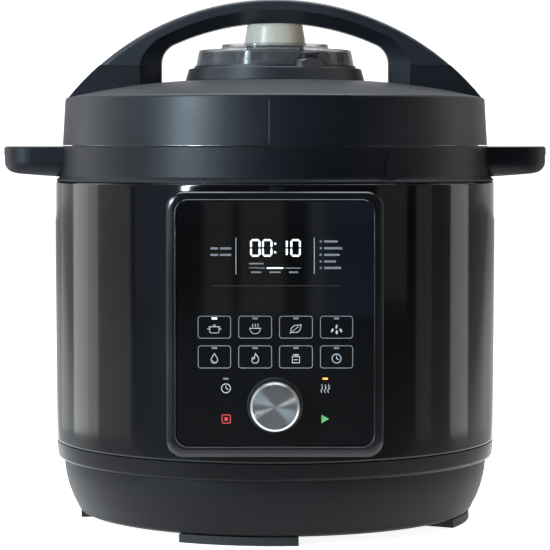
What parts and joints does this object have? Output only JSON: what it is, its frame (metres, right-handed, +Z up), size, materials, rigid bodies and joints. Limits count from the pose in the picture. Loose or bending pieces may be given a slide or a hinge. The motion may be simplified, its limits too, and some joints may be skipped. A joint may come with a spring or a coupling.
{
  "type": "electric pressure cooker",
  "caption": "Round black electric pressure cooker with twist-lock lid, arched lid handle, clear steam diffuser, touch panel and metal control dial.",
  "frame": {"origin": "on the floor under the middle of the object, on the axis of the pot", "axes": "+Z up along the pot's axis, -Y towards the front control panel, +X to the viewer's right"},
  "size_m": [0.3308, 0.3, 0.3166],
  "materials": {
    "black_satin": "satin moulded",
    "black_matte": "fine matte moulded",
    "black_steel": "gloss black coated",
    "foot_rubber": "matte",
    "steel": "brushed",
    "bright_steel": "polished",
    "screw_steel": "zinc plated",
    "aluminium": "cast",
    "knob_metal": "spun and clear anodised",
    "panel_glass": "gloss black back-printed",
    "bezel": "semi gloss",
    "board": "solder resist",
    "parts_dark": "moulded",
    "silicone": "translucent silicone",
    "clear": "smoky clear moulded",
    "frosted": "frosted translucent",
    "brass": "bare",
    "button_black": "semi gloss",
    "cup_clear": "translucent"
  },
  "bodies": {
    "base": {"feet": "foot_rubber", "base_bowl": "black_matte", "base_screws": "screw_steel", "base_ring": "black_satin", "outer_shell": "black_steel", "collar": "black_satin", "liner": "steel", "locking_flange": "steel", "heating_plate": "aluminium", "heater_tube": "steel", "heater_bracket": "screw_steel", "sensor_spring": "steel", "power_board": "board", "power_components": "parts_dark", "panel_frame": "bezel", "panel_glass": "panel_glass", "panel_carrier": "black_matte", "display_board": "board", "led_display": "parts_dark", "encoder_body": "screw_steel", "knob_collar": "bezel", "inlet_socket": "black_matte", "inlet_pins": "brass", "cup_rail": "black_satin"},
    "inner_pot": {"inner_pot": "bright_steel"},
    "lid_seal": {"sealing_ring": "silicone"},
    "lid": {"lid_cover": "black_satin", "lid_screws": "screw_steel", "lid_handle": "black_satin", "lid_handle_screws": "screw_steel", "lid_plate": "steel", "seal_rack": "steel", "exhaust_pipe": "steel", "anti_block_shield": "bright_steel", "hub_cover": "black_satin", "lever_pin": "steel", "button_spring": "steel", "diffuser_cover": "clear", "diffuser_insert": "frosted", "diffuser_cap": "frosted"},
    "release_button": {"release_button": "button_black"},
    "release_lever": {"release_lever": "steel"},
    "steam_valve": {"valve_weight": "parts_dark"},
    "float_valve": {"float_valve": "steel", "float_cap": "silicone"},
    "temp_sensor": {"sensor_cap": "aluminium"},
    "knob_plunger": {"encoder_plunger": "parts_dark"},
    "knob": {"knob": "knob_metal", "knob_shaft": "brass"},
    "drip_cup": {"drip_cup": "cup_clear"}
  },
  "joints": [
    {"name": "pot_lift", "type": "slide", "parent": "base", "child": "inner_pot", "axis": [0, 0, 1], "range_m": [0, 0.17]},
    {"name": "lid_lift", "type": "slide", "parent": "inner_pot", "child": "lid_seal", "axis": [0, 0, 1], "range_m": [0, 0.16]},
    {"name": "lid_twist", "type": "hinge", "parent": "lid_seal", "child": "lid", "pos_m": [0, 0, 0.23], "axis": [0, 0, 1], "range_deg": [0, 31.4]},
    {"name": "button_press", "type": "slide", "parent": "lid", "child": "release_button", "axis": [0, 0, -1], "range_m": [0, 0.003], "stiffness_N_per_m": 400, "deforming": ["button_spring"]},
    {"name": "lever_tilt", "type": "hinge", "parent": "lid", "child": "release_lever", "pos_m": [0.01047, -0.0216, 0.262], "axis": [0.8998, 0.4363, 0], "range_deg": [0, 9.3]},
    {"name": "valve_lift", "type": "slide", "parent": "lid", "child": "steam_valve", "axis": [0, 0, 1], "range_m": [0, 0.0051]},
    {"name": "float_rise", "type": "slide", "parent": "lid", "child": "float_valve", "axis": [0, 0, 1], "range_m": [0, 0.005]},
    {"name": "sensor_press", "type": "slide", "parent": "base", "child": "temp_sensor", "axis": [0, 0, -1], "range_m": [0, 0.0015], "stiffness_N_per_m": 700, "deforming": ["sensor_spring"]},
    {"name": "knob_press", "type": "slide", "parent": "base", "child": "knob_plunger", "axis": [0, 1, 0], "range_m": [0, 0.0008], "stiffness_N_per_m": 800},
    {"name": "knob_turn", "type": "hinge", "parent": "knob_plunger", "child": "knob", "pos_m": [0, -0.14, 0.0827], "axis": [0, -1, 0], "continuous": true},
    {"name": "cup_slide", "type": "slide", "parent": "base", "child": "drip_cup", "axis": [0, 0, -1], "range_m": [0, 0.045]}
  ],
  "couplings": [
    {"joint": "lever_tilt", "follows": "button_press", "rad_per_m": 53.523},
    {"joint": "valve_lift", "follows": "button_press", "ratio": 1.6667}
  ]
}
